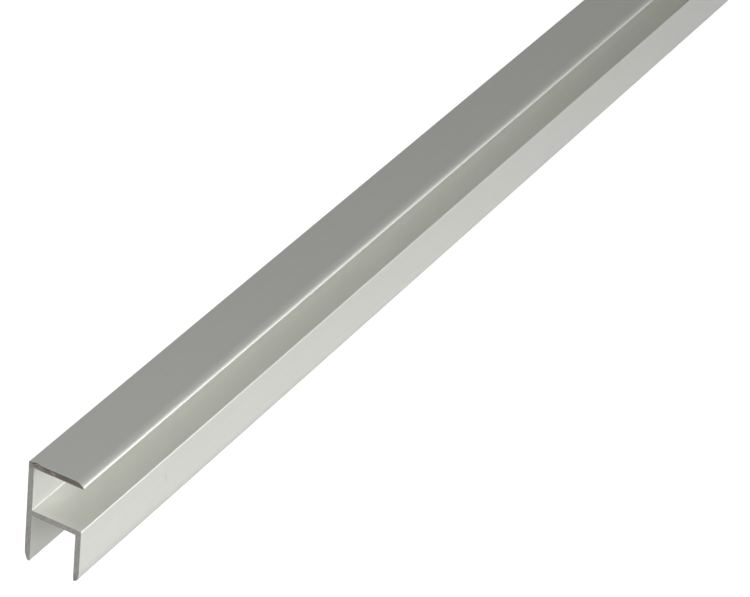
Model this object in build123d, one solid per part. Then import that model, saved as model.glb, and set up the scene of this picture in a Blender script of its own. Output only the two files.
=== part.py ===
from build123d import *
import os

# Aluminium edge profile for sheet material, an extrusion sold in straight lengths.
# Its section has a tall web on the left, a flange on top, a shelf at mid height and a
# short front leg under the shelf. Web, flange and shelf make a channel that opens to the
# right, and web, shelf and front leg make a second one that opens downwards.
# The stock stands on its two legs: X across, Y along the stock, Z up, with the origin on
# the floor under the middle of its box. Sizes are in millimetres.

# Stock
stock_length = 1000.0  # length as sold
wall = 2.0  # thickness of every wall
side_gap = 16.0  # clear height between shelf and flange, for one board
foot_gap = 16.0  # clear width between web and front leg, for the other board
leg_depth = 17.5  # how far web and front leg reach below the shelf

# Small radii that the extrusion die leaves
corner_radius = 0.4  # outer corners
seat_radius = 0.4  # inner corners of the channels

# Each free edge is drawn in on its outer side, so that a board finds its way in.
# A lead starts at some distance from the edge, tangent to the face, and leaves a lip there.
flange_lead = 2.9
flange_lip = 0.4
flange_edge_radius = 0.15
web_lead = 4.0
web_lip = 0.9
front_lead = 2.2
front_lip = 0.6
foot_radius = 0.4  # rounds the inner edge of both legs

# Levels and faces of the section, from left to right and from the floor up
width = wall + foot_gap + wall
left = -width / 2
right = width / 2
web_face = left + wall
leg_face = right - wall
shelf_top = leg_depth + wall
flange_under = shelf_top + side_gap
top = flange_under + wall


def draw_outline():
    """The section's outline, once round from the web's outer face, before its corners are rounded."""
    with BuildLine() as outline:
        Polyline((left, web_lead), (left, top), (right - flange_lead, top))
        TangentArc((right - flange_lead, top), (right, flange_under + flange_lip), tangent=(1, 0))
        Polyline(
            (right, flange_under + flange_lip),
            (right, flange_under),
            (web_face, flange_under),
            (web_face, shelf_top),
            (right, shelf_top),
            (right, front_lead),
        )
        TangentArc((right, front_lead), (leg_face + front_lip, 0), tangent=(0, -1))
        Polyline(
            (leg_face + front_lip, 0),
            (leg_face, 0),
            (leg_face, leg_depth),
            (web_face, leg_depth),
            (web_face, 0),
            (web_face - web_lip, 0),
        )
        TangentArc((left, web_lead), (web_face - web_lip, 0), tangent=(0, -1))
    return make_face(outline.edges())


def rounded(face, radius, *points):
    """The face with the corners at these points rounded."""
    corners = [face.vertices().sort_by_distance(Vector(x, z))[0] for x, z in points]
    return fillet(corners, radius)


def draw_section():
    section = draw_outline()
    section = rounded(section, corner_radius, (left, top), (right, shelf_top))
    section = rounded(
        section,
        seat_radius,
        (web_face, flange_under),
        (web_face, shelf_top),
        (web_face, leg_depth),
        (leg_face, leg_depth),
    )
    section = rounded(
        section,
        flange_edge_radius,
        (right, flange_under + flange_lip),
        (right, flange_under),
    )
    # A lip has room for a radius on its inner edge and for a smaller one where its lead ends
    section = rounded(section, min(foot_radius, 0.6 * web_lip), (web_face, 0))
    section = rounded(section, min(foot_radius, 0.6 * front_lip), (leg_face, 0))
    section = rounded(section, 0.3 * web_lip, (web_face - web_lip, 0))
    section = rounded(section, 0.3 * front_lip, (leg_face + front_lip, 0))
    return section


def extrude_stock():
    """One straight length, sawn square at both ends."""
    return extrude(Plane.XZ * draw_section(), amount=stock_length / 2, both=True)


profile = extrude_stock()
profile.label = "profile"

os.makedirs("parts", exist_ok=True)
export_step(profile, "parts/profile.step")
print("section", width, "x", top, "mm, area", round(profile.volume / stock_length, 2), "mm2")
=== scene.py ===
import math

import bpy
import numpy as np
from bpy.props import FloatProperty, FloatVectorProperty, PointerProperty
from mathutils import Matrix, Vector


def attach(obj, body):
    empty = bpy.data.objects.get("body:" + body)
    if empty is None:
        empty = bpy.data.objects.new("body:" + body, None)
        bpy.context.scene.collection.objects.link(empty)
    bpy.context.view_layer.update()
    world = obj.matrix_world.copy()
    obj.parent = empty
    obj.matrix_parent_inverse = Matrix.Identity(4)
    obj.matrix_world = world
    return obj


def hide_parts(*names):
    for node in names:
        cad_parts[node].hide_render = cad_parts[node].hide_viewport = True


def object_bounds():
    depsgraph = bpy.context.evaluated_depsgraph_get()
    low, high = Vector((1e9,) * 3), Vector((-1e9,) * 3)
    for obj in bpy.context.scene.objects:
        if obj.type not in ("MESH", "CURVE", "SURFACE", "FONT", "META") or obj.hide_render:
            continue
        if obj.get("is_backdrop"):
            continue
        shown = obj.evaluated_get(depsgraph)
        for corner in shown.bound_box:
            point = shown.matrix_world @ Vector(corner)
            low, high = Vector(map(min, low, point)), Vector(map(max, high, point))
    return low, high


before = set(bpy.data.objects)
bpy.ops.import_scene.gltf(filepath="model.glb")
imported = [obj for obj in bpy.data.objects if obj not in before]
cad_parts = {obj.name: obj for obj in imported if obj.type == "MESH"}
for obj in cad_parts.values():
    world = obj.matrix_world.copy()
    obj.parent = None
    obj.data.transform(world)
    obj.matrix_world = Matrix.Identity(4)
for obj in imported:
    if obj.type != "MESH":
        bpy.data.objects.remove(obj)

bl_info = {
    "name": "Aluminium edge profile",
    "version": (1, 0, 0),
    "blender": (4, 5, 0),
    "location": "3D View > Sidebar > Edge profile",
    "description": "Dresses a length of anodised edge profile and sets it on a pale studio floor",
    "category": "Add Mesh",
}

MM = 0.001
CAD_LOW, CAD_HIGH = (np.array(corner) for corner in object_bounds())
PIECE = "profile_stock"


def length_property(name, description, millimetres):
    """A length that a user may change, given in millimetres and kept in metres."""
    return FloatProperty(
        name=name,
        description=description,
        default=millimetres * MM,
        min=0.0,
        precision=5,
        unit="LENGTH",
    )


def colour_property(name, description, colour):
    return FloatVectorProperty(
        name=name,
        description=description,
        default=colour,
        subtype="COLOR",
        size=3,
        min=0.0,
        max=1.0,
    )


def share_property(name, description, share):
    return FloatProperty(
        name=name,
        description=description,
        default=share,
        subtype="FACTOR",
        min=0.0,
        max=1.0,
    )


def angle_property(name, description, degrees):
    return FloatProperty(
        name=name,
        description=description,
        default=math.radians(degrees),
        subtype="ANGLE",
    )


def brightness_property(name, description, brightness):
    return FloatProperty(
        name=name,
        description=description,
        default=brightness,
        min=0.0,
    )


class ProfileSizes(bpy.types.PropertyGroup):
    """Sizes of the section that the frame's box doesn't give, as in the part's source."""

    wall: length_property("Wall", "Thickness of every wall", 2.0)
    side_gap: length_property("Side gap", "Clear height between shelf and flange", 16.0)
    corner_radius: length_property("Corner radius", "Radius of the outer corners", 0.4)
    seat_radius: length_property("Seat radius", "Radius of the channels' inner corners", 0.4)
    flange_lead: length_property("Flange lead", "Where the flange's free edge starts to round off", 2.9)
    flange_lip: length_property("Flange lip", "Thickness left at the flange's free edge", 0.4)
    flange_edge_radius: length_property("Flange edge radius", "Radius of the flange's lip", 0.15)
    web_lead: length_property("Web lead", "Where the web's foot starts to draw in", 4.0)
    web_lip: length_property("Web lip", "Thickness left at the web's foot", 0.9)
    front_lead: length_property("Front lead", "Where the front leg's foot starts to draw in", 2.2)
    front_lip: length_property("Front lip", "Thickness left at the front leg's foot", 0.6)
    foot_radius: length_property("Foot radius", "Radius of both feet's inner edges", 0.4)
    sawn_edge: length_property("Sawn edge", "How far the saw has broken the edges of both ends", 0.06)


class FinishSettings(bpy.types.PropertyGroup):
    """Colours and gloss of the anodised skin and of the sawn ends."""

    skin_dark: colour_property("Skin, darker", "Darker colour of the silver skin", (0.775, 0.779, 0.737))
    skin_light: colour_property("Skin, lighter", "Lighter colour of the silver skin", (0.825, 0.829, 0.787))
    skin_metal: share_property("Skin metal", "Share of the skin's light that the metal under it gives", 0.6)
    skin_roughness: share_property("Skin roughness", "Mean roughness of the satin skin", 0.38)
    sawn_dark: colour_property("Sawn, darker", "Darker colour of the sawn metal", (0.30, 0.288, 0.27))
    sawn_light: colour_property("Sawn, lighter", "Lighter colour of the sawn metal", (0.46, 0.45, 0.43))
    sawn_metal: share_property("Sawn metal", "Share of the sawn ends' light that the bare metal gives", 0.8)
    sawn_roughness: share_property("Sawn roughness", "Mean roughness of the sawn metal", 0.55)
    # Painted shade on the sawn flange, tinted brown
    flange_end: colour_property("Flange's end", "Multiplies the sawn flange's colour", (0.56, 0.51, 0.46))


class StageSettings(bpy.types.PropertyGroup):
    """Floor, light and camera."""

    floor_colour: colour_property("Floor colour", "Colour of the floor", (0.5, 0.5, 0.5))
    floor_seen: brightness_property(
        "Floor seen",
        "White that the floor shows to the camera, beside the light that falls on it",
        0.84,
    )
    floor_mirrored: brightness_property(
        "Floor mirrored",
        "White that the floor shows in gloss and through glass, beside the light that falls on it",
        0.27,
    )
    sky: brightness_property("Sky", "Brightness of the even light from above", 0.15)
    horizon: brightness_property("Horizon", "What pale walls near the floor add to the sky", 0.8)
    front_box: brightness_property("Front softbox", "Brightness of the softbox in front", 22.2)
    right_box: brightness_property("Right softbox", "Brightness of the softbox at the right", 10.3)
    corner_box: brightness_property("Corner softbox", "Brightness of the one that corners mirror", 4.8)
    edge_box: brightness_property("Edge softbox", "Brightness of the one that far edges mirror", 1.3)
    left_box: brightness_property("Left softbox", "Brightness of the softbox at the left", 14.0)
    azimuth: angle_property("Azimuth", "Camera's direction round the stock, from its near end", 26.466)
    elevation: angle_property("Elevation", "Camera's height above the horizon", 33.311)
    roll: angle_property("Roll", "Camera's turn about its own line of sight", 6.347)
    lens: FloatProperty(
        name="Lens",
        description="Focal length in millimetres, on a sensor 36 mm wide",
        default=171.853,
        min=1.0,
    )
    sight: FloatVectorProperty(
        name="Sight",
        description="The camera's place from the near end's lower left corner: right, up and back",
        default=(0.108093, 0.080178, 1.102829),
        subtype="TRANSLATION",
        size=3,
    )


LEAD_STEPS = 14  # facets of a lead's arc
CORNER_STEPS = 8  # facets of a rounded corner
FLAT_STEP = 0.5 * MM  # width of the quads across a flat stretch of the section
SUPPORT = 0.03 * MM  # width of the quads beside a rounded corner, which keep the flats flat
RING_STEP = 40 * MM  # distance between rings along the stock
OUTER_SHARE = 0.3  # a foot's outer edge has a radius of this share of its lip
INNER_SHARE = 0.6  # and its inner edge one of at most this share


def unit(vectors):
    return vectors / np.linalg.norm(vectors, axis=-1, keepdims=True)


def lead_arc(start, end, along):
    """Points of the circle that leaves start in the direction along and ends at end.

    With c the chord from start to end, and s the unit vector square to along on the chord's side, the
    radius is c.c / (2 c.s), and a point at the angle t is start + radius (sin t along + (1 - cos t) s).
    """
    start, end, along = (np.array(v, float) for v in (start, end, along))
    chord = end - start
    side = np.array([-along[1], along[0]])
    side *= np.sign(chord @ side)
    radius = (chord @ chord) / (2 * chord @ side)
    angle = np.linspace(0, 2 * np.arctan2(chord @ side, chord @ along), LEAD_STEPS + 1)[:, None]
    return start + radius * (np.sin(angle) * along + (1 - np.cos(angle)) * side)


def without_repeats(points):
    """A closed outline without points that lie on the one before."""
    step = np.linalg.norm(points - np.roll(points, 1, axis=0), axis=1)
    return points[step > 0.1 * SUPPORT]


def round_corners(points, radii):
    """A closed outline with an arc of its radius at each point.

    At a corner with the unit vectors u and v to its neighbours and the angle 2h between them, the arc's
    centre lies r / sin h along u + v, and its ends lie r / tan h along u and v. In between, the vector from
    the centre goes from a to b as (sin((1 - t) w) a + sin(t w) b) / sin w, with w the outline's turn.
    """
    u = unit(np.roll(points, 1, axis=0) - points)
    v = unit(np.roll(points, -1, axis=0) - points)
    half = np.arccos(np.clip((u * v).sum(1), -1, 1))[:, None] / 2
    radii = radii[:, None]
    turn = np.maximum(np.pi - 2 * half, 1e-6)
    middle = u + v
    middle /= np.maximum(np.linalg.norm(middle, axis=1, keepdims=True), 1e-9)
    centre = points + middle * radii / np.sin(half)
    first = points + u * radii / np.tan(half) - centre
    last = points + v * radii / np.tan(half) - centre
    t = np.linspace(0, 1, CORNER_STEPS + 1)[None, :, None]
    turn = turn[:, None]
    arcs = (np.sin((1 - t) * turn) * first[:, None] + np.sin(t * turn) * last[:, None]) / np.sin(turn)
    return without_repeats((centre[:, None] + arcs).reshape(-1, 2))


def divide_flats(points):
    """More points on the long sides of a closed outline: even steps, and a support point near each end.

    Point k of the n on side i is p_i + (k / n) (p_(i+1) - p_i).
    """
    step = np.roll(points, -1, axis=0) - points
    length = np.linalg.norm(step, axis=1)
    count = np.maximum(np.round(length / FLAT_STEP).astype(int), 1)
    side = np.repeat(np.arange(len(points)), count)
    share = (np.arange(len(side)) - np.repeat(np.cumsum(count) - count, count)) / count[side]
    long = np.flatnonzero(count > 1)
    margin = SUPPORT / length[long]
    side = np.concatenate([side, long, long])
    share = np.concatenate([share, margin, 1 - margin])
    order = np.argsort(side + share)
    side, share = side[order], share[order, None]
    return points[side] + share * step[side]


def section_outline(sizes):
    """The section's outline as X and Z, clockwise from the near end, from the web's top corner on."""
    left, right = CAD_LOW[0], CAD_HIGH[0]
    floor, top = CAD_LOW[2], CAD_HIGH[2]
    web_face, leg_face = left + sizes.wall, right - sizes.wall
    flange_under = top - sizes.wall
    shelf_top = flange_under - sizes.side_gap
    shelf_under = shelf_top - sizes.wall
    nose = lead_arc((right - sizes.flange_lead, top), (right, flange_under + sizes.flange_lip), (1, 0))
    front_foot = lead_arc((right, floor + sizes.front_lead), (leg_face + sizes.front_lip, floor), (0, -1))
    web_foot = lead_arc((left, floor + sizes.web_lead), (web_face - sizes.web_lip, floor), (0, -1))[::-1]
    smooth = np.zeros(LEAD_STEPS)
    stretches = [
        ([(left, top)], [sizes.corner_radius]),
        (nose, [*smooth, sizes.flange_edge_radius]),
        ([(right, flange_under)], [sizes.flange_edge_radius]),
        ([(web_face, flange_under), (web_face, shelf_top)], [sizes.seat_radius] * 2),
        ([(right, shelf_top)], [sizes.corner_radius]),
        (front_foot, [*smooth, OUTER_SHARE * sizes.front_lip]),
        ([(leg_face, floor)], [min(sizes.foot_radius, INNER_SHARE * sizes.front_lip)]),
        ([(leg_face, shelf_under), (web_face, shelf_under)], [sizes.seat_radius] * 2),
        ([(web_face, floor)], [min(sizes.foot_radius, INNER_SHARE * sizes.web_lip)]),
        (web_foot, [OUTER_SHARE * sizes.web_lip, *smooth]),
    ]
    points = np.concatenate([np.array(p, float) for p, _ in stretches])
    radii = np.concatenate([np.array(r, float) for _, r in stretches])
    return divide_flats(round_corners(points, radii))


def outline_normals(outline):
    """Unit vectors out of a clockwise outline, at each point the mean of its two sides'."""
    side = unit(np.roll(outline, -1, axis=0) - outline)
    out = np.stack([-side[:, 1], side[:, 0]], axis=1)
    return unit(out + np.roll(out, 1, axis=0))


# Where the saw took more off the near end's edge: X from the left, Z from the floor, depth and reach, in mm
NICKS = (
    (2.9, 37.5, 0.45, 1.4),
    (9.3, 35.5, 0.12, 0.35),
    (2.0, 29.0, 0.08, 0.5),
    (20.0, 14.0, 0.07, 0.6),
)

# The broken edge's waves: cycles round the outline, phase in radians, share of the mean width
WAVES = (
    (3, 0.9, 0.30),
    (11, 2.1, 0.25),
    (29, 0.4, 0.20),
    (67, 1.7, 0.15),
)


def broken_edge(outline, sizes, nicks):
    """How far the saw has broken the edge at each point of the outline.

    The mean width times 1 + the sum of share sin(cycles angle + phase), with the angle's full turn the whole
    outline, and in each nick depth exp(-(distance / reach)^2) more.
    """
    length = np.cumsum(np.linalg.norm(outline - np.roll(outline, 1, axis=0), axis=1))
    angle = 2 * np.pi * length / length[-1]
    waves = sum(share * np.sin(cycles * angle + phase) for cycles, phase, share in WAVES)
    width = sizes.sawn_edge * (1 + waves)
    for x, z, depth, reach in nicks:
        place = np.array([CAD_LOW[0] + x * MM, CAD_LOW[2] + z * MM])
        distance = np.linalg.norm(outline - place, axis=1)
        width += depth * MM * np.exp(-((distance / (reach * MM)) ** 2))
    return width


def stock_mesh(sizes):
    """The section carried along Y from end to end, with broken edges and a flat face at both ends.

    A ring is the outline at one Y. The outermost rings are drawn in along the outline's normals by the
    broken edge's width w, and the rings beside them lie w further in along Y.
    """
    outline = section_outline(sizes)
    normals = outline_normals(outline)
    count = len(outline)
    near, far = CAD_LOW[1], CAD_HIGH[1]
    near_edge = broken_edge(outline, sizes, NICKS)
    far_edge = broken_edge(outline, sizes, ())
    clear = near_edge.max() + SUPPORT
    middle = np.linspace(near + clear, far - clear, round((far - near) / RING_STEP))
    still = np.ones(count)
    inner_rings = middle[:, None] * still
    places = np.stack([near * still, near + near_edge, *inner_rings, far - far_edge, far * still])
    rings = len(places)
    inset = np.zeros((rings, count, 1))
    inset[0, :, 0], inset[-1, :, 0] = near_edge, far_edge
    flat = outline - inset * normals
    grid = np.stack([flat[..., 0], places, flat[..., 1]], axis=-1)
    ring = np.arange(rings - 1)[:, None] * count
    point = np.arange(count)
    following = (point + 1) % count
    next_ring = ring + count
    quads = np.stack([ring + point, next_ring + point, next_ring + following, ring + following], axis=-1)
    far_face = (rings - 1) * count + point[::-1]
    faces = [*quads.reshape(-1, 4).tolist(), point.tolist(), far_face.tolist()]
    mesh = bpy.data.meshes.new(PIECE)
    mesh.from_pydata(grid.reshape(-1, 3), [], faces)
    sawn = np.ones(len(mesh.polygons), np.int32)
    sawn[count : (rings - 2) * count] = 0
    mesh.polygons.foreach_set("material_index", sawn)
    smooth = np.ones(len(mesh.polygons), bool)
    smooth[-2:] = False
    mesh.polygons.foreach_set("use_smooth", smooth)
    mesh.update()
    return mesh


class EDGEPROFILE_OT_stock(bpy.types.Operator):
    """Makes the length of profile and gives it its two finishes"""

    bl_idname = "edgeprofile.stock"
    bl_label = "Stock"

    def execute(self, context):
        scene = context.scene
        mesh = stock_mesh(scene.edgeprofile_sizes)
        stock = bpy.data.objects.new(PIECE, mesh)
        scene.collection.objects.link(stock)
        mesh.materials.append(skin_material(scene.edgeprofile_finish))
        mesh.materials.append(sawn_material(scene.edgeprofile_finish, scene.edgeprofile_sizes))
        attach(stock, "root")
        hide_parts("profile")
        return {"FINISHED"}


def feed(tree, socket, value):
    """Gives a socket a value, or a link where the value is another node's socket."""
    if isinstance(value, bpy.types.NodeSocket):
        tree.links.new(value, socket)
    else:
        socket.default_value = value


def add_node(tree, kind, inputs, **settings):
    """A new node with its settings made and its inputs fed, by their names or numbers."""
    node = tree.nodes.new(kind)
    for name, value in settings.items():
        setattr(node, name, value)
    for name, value in inputs.items():
        feed(tree, node.inputs[name], value)
    return node


def arithmetic(tree, operation, *values):
    return add_node(tree, "ShaderNodeMath", dict(enumerate(values)), operation=operation).outputs[0]


def vector_arithmetic(tree, operation, *values):
    node = add_node(tree, "ShaderNodeVectorMath", dict(enumerate(values)), operation=operation)
    return node.outputs["Value" if operation == "LENGTH" else "Vector"]


def spread(tree, value, low, high, to_low=0.0, to_high=1.0):
    """The value's range from low to high, carried over to another range and held in it."""
    inputs = {"Value": value, "From Min": low, "From Max": high, "To Min": to_low, "To Max": to_high}
    return add_node(tree, "ShaderNodeMapRange", inputs).outputs[0]


def weighted_sum(tree, *parts):
    """The sum of values, each times its weight."""
    total = 0.0
    for value, weight in parts:
        total = arithmetic(tree, "MULTIPLY_ADD", value, weight, total)
    return total


def new_group(name, inputs):
    """An empty node group from a Vector and named numbers to a Value: its tree and its given inputs."""
    tree = bpy.data.node_groups.new(name, "ShaderNodeTree")
    tree.interface.new_socket("Vector", in_out="INPUT", socket_type="NodeSocketVector")
    for label, value in inputs.items():
        socket = tree.interface.new_socket(label, in_out="INPUT", socket_type="NodeSocketFloat")
        socket.default_value = value
    tree.interface.new_socket("Value", in_out="OUTPUT", socket_type="NodeSocketFloat")
    return tree, tree.nodes.new("NodeGroupInput").outputs


def unevenness_group():
    """Soft patches of one size, spread between a low and a high value."""
    tree, given = new_group("unevenness", {"Size": 0.01, "Detail": 2.0, "Low": 0.0, "High": 1.0})
    noise = {
        "Vector": given["Vector"],
        "Scale": arithmetic(tree, "DIVIDE", 1.0, given["Size"]),
        "Detail": given["Detail"],
    }
    patches = add_node(tree, "ShaderNodeTexNoise", noise).outputs[0]
    value = spread(tree, patches, 0.3, 0.7, given["Low"], given["High"])
    add_node(tree, "NodeGroupOutput", {"Value": value})
    return tree


def streaks_group():
    """Fine lines from 0 to 1, a pitch apart across and a run long along the vector's Y."""
    tree, given = new_group("streaks", {"Pitch": 0.001, "Run": 0.1, "Detail": 2.0})
    across = arithmetic(tree, "DIVIDE", 1.0, given["Pitch"])
    along = arithmetic(tree, "DIVIDE", 1.0, given["Run"])
    stretch = add_node(tree, "ShaderNodeCombineXYZ", {"X": across, "Y": along, "Z": across}).outputs[0]
    vector = vector_arithmetic(tree, "MULTIPLY", given["Vector"], stretch)
    noise = {"Vector": vector, "Scale": 1.0, "Detail": given["Detail"]}
    value = spread(tree, add_node(tree, "ShaderNodeTexNoise", noise).outputs[0], 0.25, 0.75)
    add_node(tree, "NodeGroupOutput", {"Value": value})
    return tree


MARK_CORE = 0.35  # share of a mark's reach within which it has its full strength


def mark_group():
    """One soft-edged oval: 1 in its core, falling to 0 at its edge."""
    tree, given = new_group("mark", {})
    for label in ("Centre", "Turn", "Reach"):
        tree.interface.new_socket(label, in_out="INPUT", socket_type="NodeSocketVector")
    oval = {
        "Vector": given["Vector"],
        "Location": given["Centre"],
        "Rotation": given["Turn"],
        "Scale": given["Reach"],
    }
    place = add_node(tree, "ShaderNodeMapping", oval, vector_type="TEXTURE").outputs[0]
    value = spread(tree, vector_arithmetic(tree, "LENGTH", place), MARK_CORE, 1.0, 1.0, 0.0)
    add_node(tree, "NodeGroupOutput", {"Value": value})
    return tree


def use_group(tree, make, **inputs):
    """The value of a shared group, which is made where it isn't there yet."""
    name = make.__name__.removesuffix("_group")
    group = bpy.data.node_groups.get(name) or make()
    node = add_node(tree, "ShaderNodeGroup", {}, node_tree=group)
    for label, value in inputs.items():
        feed(tree, node.inputs[label], value)
    return node.outputs[0]


def add_marks(tree, place, colour, marks):
    """Lays marks over a colour, each with its centre, turn about Y, reach each way, tint and strength."""
    for centre, turn, reach, tint, strength in marks:
        oval = {
            "Centre": tuple(CAD_LOW + np.array(centre) * MM),
            "Turn": (0.0, math.radians(turn), 0.0),
            "Reach": tuple(np.array(reach) * MM),
        }
        mask = use_group(tree, mark_group, Vector=place, **oval)
        mask = arithmetic(tree, "MULTIPLY", mask, strength)
        colour = blend_colours(tree, mask, colour, (*tint, 1))
    return colour


def blend_colours(tree, share, first, second, how="MIX"):
    """Two colours blended, with all of the second where the share is 1."""
    node = add_node(tree, "ShaderNodeMix", {}, data_type="RGBA", blend_type=how)
    for socket, value in zip((node.inputs[0], node.inputs[6], node.inputs[7]), (share, first, second)):
        feed(tree, socket, value)
    return node.outputs[2]


def new_material(name):
    """A material with one Principled shader, its node tree, its shader and the object's coordinates."""
    material = bpy.data.materials.new(name)
    material.use_nodes = True
    tree = material.node_tree
    place = tree.nodes.new("ShaderNodeTexCoord").outputs["Object"]
    return material, tree, tree.nodes["Principled BSDF"], place


# Marks on the front leg: a smudge in two parts, a faint pale line up the leg, a painted highlight along the
# corner at the shelf, and painted shade darkening the foot, most at the near end. Each mark has its centre
# in mm from the near end's lower left corner, its turn in degrees, its reach in mm, its tint and its
# strength.
SKIN_MARKS_AND_PAINTED_LIGHT = (
    ((20.0, 48.2, 12.0), 18, (1.5, 1.1, 1.7), (0.50, 0.50, 0.47), 0.24),
    ((20.0, 48.8, 10.2), -30, (1.5, 0.6, 0.9), (0.50, 0.50, 0.47), 0.18),
    ((20.0, 19.0, 9.0), 0, (1.5, 0.45, 9.0), (0.95, 0.95, 0.93), 0.25),
    # Painted highlight along the corner at the shelf, strongest at the near end
    ((20.1, 0.0, 19.15), 0, (0.5, 330.0, 0.45), (0.98, 0.98, 0.96), 0.6),
    # Painted shade darkening the foot near the near end
    ((20.0, 0.0, 0.0), 0, (2.0, 260.0, 5.0), (0.55, 0.55, 0.53), 0.35),
    # Painted shade along the foot's bottom edge, over the whole length
    ((19.0, 0.0, 0.0), 0, (2.0, 2000.0, 1.6), (0.45, 0.45, 0.44), 0.5),
)


def set_roughness(tree, shader, share, mean, change):
    """Roughness that falls from mean + change to mean - change as the share rises from 0 to 1."""
    feed(tree, shader.inputs["Roughness"], spread(tree, share, 0.0, 1.0, mean + change, mean - change))


def set_relief(tree, shader, height, strength, distance):
    """Relief from a height of 0 to 1, which stands for the distance."""
    bump = add_node(tree, "ShaderNodeBump", {"Height": height, "Strength": strength, "Distance": distance})
    feed(tree, shader.inputs["Normal"], bump.outputs[0])


# The skin's patterns: the size of patches, and of lines the pitch across the stock and the run along it
CLOUD_SIZE = 60 * MM
GRAIN_SIZE = 0.12 * MM
WIDE_LINES = {"Pitch": 2.2 * MM, "Run": 0.9}
DIE_LINES = {"Pitch": 0.16 * MM, "Run": 0.15}


def skin_material(finish):
    """Satin silver anodising: clouds and die lines a shade apart, and a fine etched grain."""
    material, tree, shader, place = new_material("silver_anodised_skin")
    clouds = use_group(tree, unevenness_group, Vector=place, Size=CLOUD_SIZE)
    wide_lines = use_group(tree, streaks_group, Vector=place, **WIDE_LINES)
    die_lines = use_group(tree, streaks_group, Vector=place, **DIE_LINES)
    grain = use_group(tree, unevenness_group, Vector=place, Size=GRAIN_SIZE)
    share = weighted_sum(tree, (clouds, 0.4), (wide_lines, 0.35), (die_lines, 0.25))
    colour = blend_colours(tree, share, (*finish.skin_dark, 1), (*finish.skin_light, 1))
    # Over the colour go smudges, a pale line, a painted highlight along the shelf's corner and painted shade
    # at the foot
    colour = add_marks(tree, place, colour, SKIN_MARKS_AND_PAINTED_LIGHT)
    feed(tree, shader.inputs["Base Color"], colour)
    shader.inputs["Metallic"].default_value = finish.skin_metal
    set_roughness(tree, shader, share, finish.skin_roughness, 0.04)
    set_relief(tree, shader, weighted_sum(tree, (grain, 0.4), (die_lines, 0.6)), 0.12, 0.01 * MM)
    return material


BLADE_CENTRE = (0.118, 0.0, -0.092)  # the saw blade's centre, as seen on an end

# The cut's patterns: of the blade's arcs the pitch along its radius and the run in height, and of the
# mottling the size of its patches
SAW_LINES = {"Pitch": 0.14 * MM, "Run": 30 * MM}
CHATTER = {"Pitch": 1.1 * MM, "Run": 14 * MM}
MOTTLE_SIZE = 0.9 * MM

# The flange's cut is darkened with painted shade, tinted brown; these give where it starts and how far it
# reaches over the web
FLANGE_BLEND = (-0.3 * MM, 0.2 * MM)  # heights about the flange's underside between which its cut darkens
WEB_BLEND = (-0.2 * MM, 3.0 * MM)  # and distances past the web's face over which it darkens further
WEB_DARKENING = 0.35  # share of the flange's darkening that its end over the web has

# Marks on the near end's cut, given as the skin's: darker, lighter and brown stretches of the flange and a
# dark streak along its top, dark lines and a dark corner beside the nick, a pale fleck, and a darker patch
# at the front leg's foot
SAWN_MARKS = (
    ((13.5, 0.0, 36.7), 2, (6.5, 1.0, 0.9), (0.11, 0.10, 0.09), 0.5),
    ((4.6, 0.0, 36.2), -8, (1.6, 1.0, 0.7), (0.34, 0.33, 0.30), 0.45),
    ((6.6, 0.0, 36.9), 4, (1.9, 1.0, 0.4), (0.10, 0.09, 0.08), 0.6),
    ((1.9, 0.0, 37.25), -22, (1.7, 1.2, 0.3), (0.07, 0.065, 0.06), 0.85),
    ((2.7, 0.0, 36.65), -20, (1.6, 1.0, 0.3), (0.07, 0.065, 0.06), 0.7),
    ((0.2, 0.0, 37.3), 0, (0.7, 1.0, 0.8), (0.10, 0.10, 0.11), 0.6),
    ((9.0, 0.0, 36.5), 12, (1.0, 1.0, 0.45), (0.44, 0.42, 0.38), 0.8),
    ((12.3, 0.0, 36.6), 4, (1.6, 1.0, 0.6), (0.17, 0.115, 0.10), 0.55),
    ((19.0, 0.0, 1.2), 0, (1.1, 1.0, 1.6), (0.20, 0.195, 0.18), 0.5),
)


def sawn_material(finish, sizes):
    """Bare sawn metal: arcs left by the blade, mottled dull and bright, and painted shade darkening the
    flange.
    """
    material, tree, shader, place = new_material("sawn_aluminium")
    flat_place = vector_arithmetic(tree, "MULTIPLY", place, (1.0, 0.0, 1.0))
    from_blade = vector_arithmetic(tree, "SUBTRACT", flat_place, BLADE_CENTRE)
    radius = vector_arithmetic(tree, "LENGTH", from_blade)
    xyz = add_node(tree, "ShaderNodeSeparateXYZ", {0: place}).outputs
    polar = add_node(tree, "ShaderNodeCombineXYZ", {"X": radius, "Y": xyz["Z"]}).outputs[0]
    saw_lines = use_group(tree, streaks_group, Vector=polar, **SAW_LINES)
    chatter = use_group(tree, streaks_group, Vector=polar, **CHATTER)
    mottle = use_group(tree, unevenness_group, Vector=place, Size=MOTTLE_SIZE)
    share = weighted_sum(tree, (chatter, 0.35), (saw_lines, 0.35), (mottle, 0.3))
    colour = blend_colours(tree, share, (*finish.sawn_dark, 1), (*finish.sawn_light, 1))
    flange_under = CAD_HIGH[2] - sizes.wall
    web_face = CAD_LOW[0] + sizes.wall
    flange_shade = spread(tree, xyz["Z"], *(flange_under + z for z in FLANGE_BLEND))
    past_web = spread(tree, xyz["X"], *(web_face + x for x in WEB_BLEND), WEB_DARKENING, 1.0)
    flange_shade = arithmetic(tree, "MULTIPLY", flange_shade, past_web)
    # Painted shade, tinted brown, over the flange's cut, with less of it over the web
    colour = blend_colours(tree, flange_shade, colour, (*finish.flange_end, 1), "MULTIPLY")
    colour = add_marks(tree, place, colour, SAWN_MARKS)
    feed(tree, shader.inputs["Base Color"], colour)
    shader.inputs["Metallic"].default_value = finish.sawn_metal
    set_roughness(tree, shader, share, finish.sawn_roughness, 0.1)
    set_relief(tree, shader, share, 0.4, 0.03 * MM)
    return material


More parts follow.
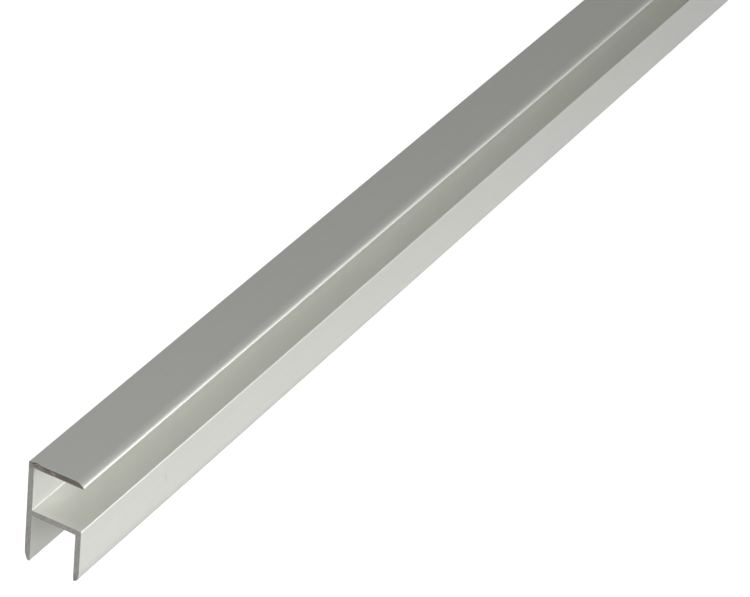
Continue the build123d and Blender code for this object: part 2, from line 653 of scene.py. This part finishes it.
def camera_axes(stage):
    """The camera's right, up and back as the rows of an array."""
    azimuth, elevation, roll = stage.azimuth, stage.elevation, stage.roll
    back = np.array(
        [
            math.sin(azimuth) * math.cos(elevation),
            -math.cos(azimuth) * math.cos(elevation),
            math.sin(elevation),
        ]
    )
    right = np.array([math.cos(azimuth), math.sin(azimuth), 0.0])
    up = np.cross(back, right)
    turned_right = right * math.cos(roll) + up * math.sin(roll)
    turned_up = up * math.cos(roll) - right * math.sin(roll)
    return np.array([turned_right, turned_up, back])


SENSOR_WIDTH = 36.0  # in mm


def make_camera(stage):
    axes = camera_axes(stage)
    camera = bpy.data.objects.new("camera", bpy.data.cameras.new("camera"))
    camera.data.lens = stage.lens
    camera.data.sensor_width = SENSOR_WIDTH
    place = CAD_LOW + np.array(stage.sight) @ axes
    camera.matrix_world = Matrix.Translation(Vector(place)) @ Matrix(axes.T).to_4x4()
    bpy.context.scene.collection.objects.link(camera)
    bpy.context.scene.camera = camera


FLOOR_REACH = 30.0  # from the middle to each side


def make_floor(stage):
    """A wide floor that takes the shadow, and shows white to the camera and less of it in gloss."""
    mesh = bpy.data.meshes.new("floor")
    corners = [(x * FLOOR_REACH, y * FLOOR_REACH, 0) for x, y in ((-1, -1), (1, -1), (1, 1), (-1, 1))]
    mesh.from_pydata(corners, [], [(0, 1, 2, 3)])
    floor = bpy.data.objects.new("floor", mesh)
    bpy.context.scene.collection.objects.link(floor)
    material, tree, shader, _ = new_material("pale_floor")
    shader.inputs["Base Color"].default_value = (*stage.floor_colour, 1)
    shader.inputs["Roughness"].default_value = 1.0
    shader.inputs["Specular IOR Level"].default_value = 0.0
    rays = tree.nodes.new("ShaderNodeLightPath").outputs
    mirrored = arithmetic(tree, "MAXIMUM", rays["Is Glossy Ray"], rays["Is Transmission Ray"])
    strength = arithmetic(tree, "MULTIPLY", mirrored, stage.floor_mirrored)
    strength = arithmetic(tree, "MULTIPLY_ADD", rays["Is Camera Ray"], stage.floor_seen, strength)
    shader.inputs["Emission Color"].default_value = (1, 1, 1, 1)
    feed(tree, shader.inputs["Emission Strength"], strength)
    mesh.materials.append(material)
    floor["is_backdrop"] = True


COVE_TOP = math.sin(math.radians(20))  # height of the pale horizon, as a direction's Z


def make_world(stage):
    """A dim even sky above a pale horizon, as in a large dark room with a white cove."""
    world = bpy.data.worlds.new("studio")
    world.use_nodes = True
    tree = world.node_tree
    direction = tree.nodes.new("ShaderNodeTexCoord").outputs["Generated"]
    height = add_node(tree, "ShaderNodeSeparateXYZ", {0: direction}).outputs["Z"]
    strength = spread(tree, height, 0.0, COVE_TOP, stage.sky + stage.horizon, stage.sky)
    feed(tree, tree.nodes["Background"].inputs["Strength"], strength)
    tree.nodes["Background"].inputs["Color"].default_value = (1, 1, 1, 1)
    bpy.context.scene.world = world


LIT_PLACE = np.array([0.0, -0.45, 0.0])  # what the softboxes face, near the stock's near end
BOX_SHARE = 0.3  # a softbox's side, as a share of its distance

# Each softbox's name, its angles in degrees round Z from +X and up, and its distance
SOFTBOXES = (
    ("front", -60, 28, 0.8),
    ("right", 0, 12, 0.5),
    ("corner", 30, 12, 0.5),
    ("edge", 50, 10, 0.8),
    ("left", 190, 28, 1.6),
)


def add_softbox(name, around, above, distance, brightness):
    """A square lamp that faces the stock's near end and is hidden from the camera."""
    around, above = math.radians(around), math.radians(above)
    level = math.cos(above)
    direction = np.array([math.cos(around) * level, math.sin(around) * level, math.sin(above)])
    lamp = bpy.data.lights.new(name, "AREA")
    lamp.size = BOX_SHARE * distance
    lamp.energy = brightness * math.pi * lamp.size**2
    softbox = bpy.data.objects.new(name, lamp)
    softbox.location = LIT_PLACE + distance * direction
    softbox.rotation_euler = Vector(direction).to_track_quat("Z", "Y").to_euler()
    softbox.visible_camera = False
    bpy.context.scene.collection.objects.link(softbox)


class EDGEPROFILE_OT_stage(bpy.types.Operator):
    """Makes the floor, the light and the camera"""

    bl_idname = "edgeprofile.stage"
    bl_label = "Stage"

    def execute(self, context):
        stage = context.scene.edgeprofile_stage
        make_floor(stage)
        make_world(stage)
        for name, around, above, distance in SOFTBOXES:
            add_softbox(f"{name}_softbox", around, above, distance, getattr(stage, f"{name}_box"))
        make_camera(stage)
        context.scene.view_settings.view_transform = "Standard"
        return {"FINISHED"}


class EDGEPROFILE_PT_panel(bpy.types.Panel):
    """Lists the steps in the 3D view's sidebar"""

    bl_label = "Edge profile"
    bl_idname = "EDGEPROFILE_PT_panel"
    bl_space_type = "VIEW_3D"
    bl_region_type = "UI"
    bl_category = "Edge profile"

    def draw(self, context):
        for operator in (EDGEPROFILE_OT_stock, EDGEPROFILE_OT_stage):
            self.layout.operator(operator.bl_idname)


CLASSES = (
    ProfileSizes,
    FinishSettings,
    StageSettings,
    EDGEPROFILE_OT_stock,
    EDGEPROFILE_OT_stage,
    EDGEPROFILE_PT_panel,
)


def register():
    for cls in CLASSES:
        bpy.utils.register_class(cls)
    bpy.types.Scene.edgeprofile_sizes = PointerProperty(type=ProfileSizes)
    bpy.types.Scene.edgeprofile_finish = PointerProperty(type=FinishSettings)
    bpy.types.Scene.edgeprofile_stage = PointerProperty(type=StageSettings)


def unregister():
    del bpy.types.Scene.edgeprofile_sizes
    del bpy.types.Scene.edgeprofile_finish
    del bpy.types.Scene.edgeprofile_stage
    for cls in reversed(CLASSES):
        bpy.utils.unregister_class(cls)


def main():
    register()
    bpy.ops.edgeprofile.stock()
    bpy.ops.edgeprofile.stage()


if __name__ == "__main__":
    main()
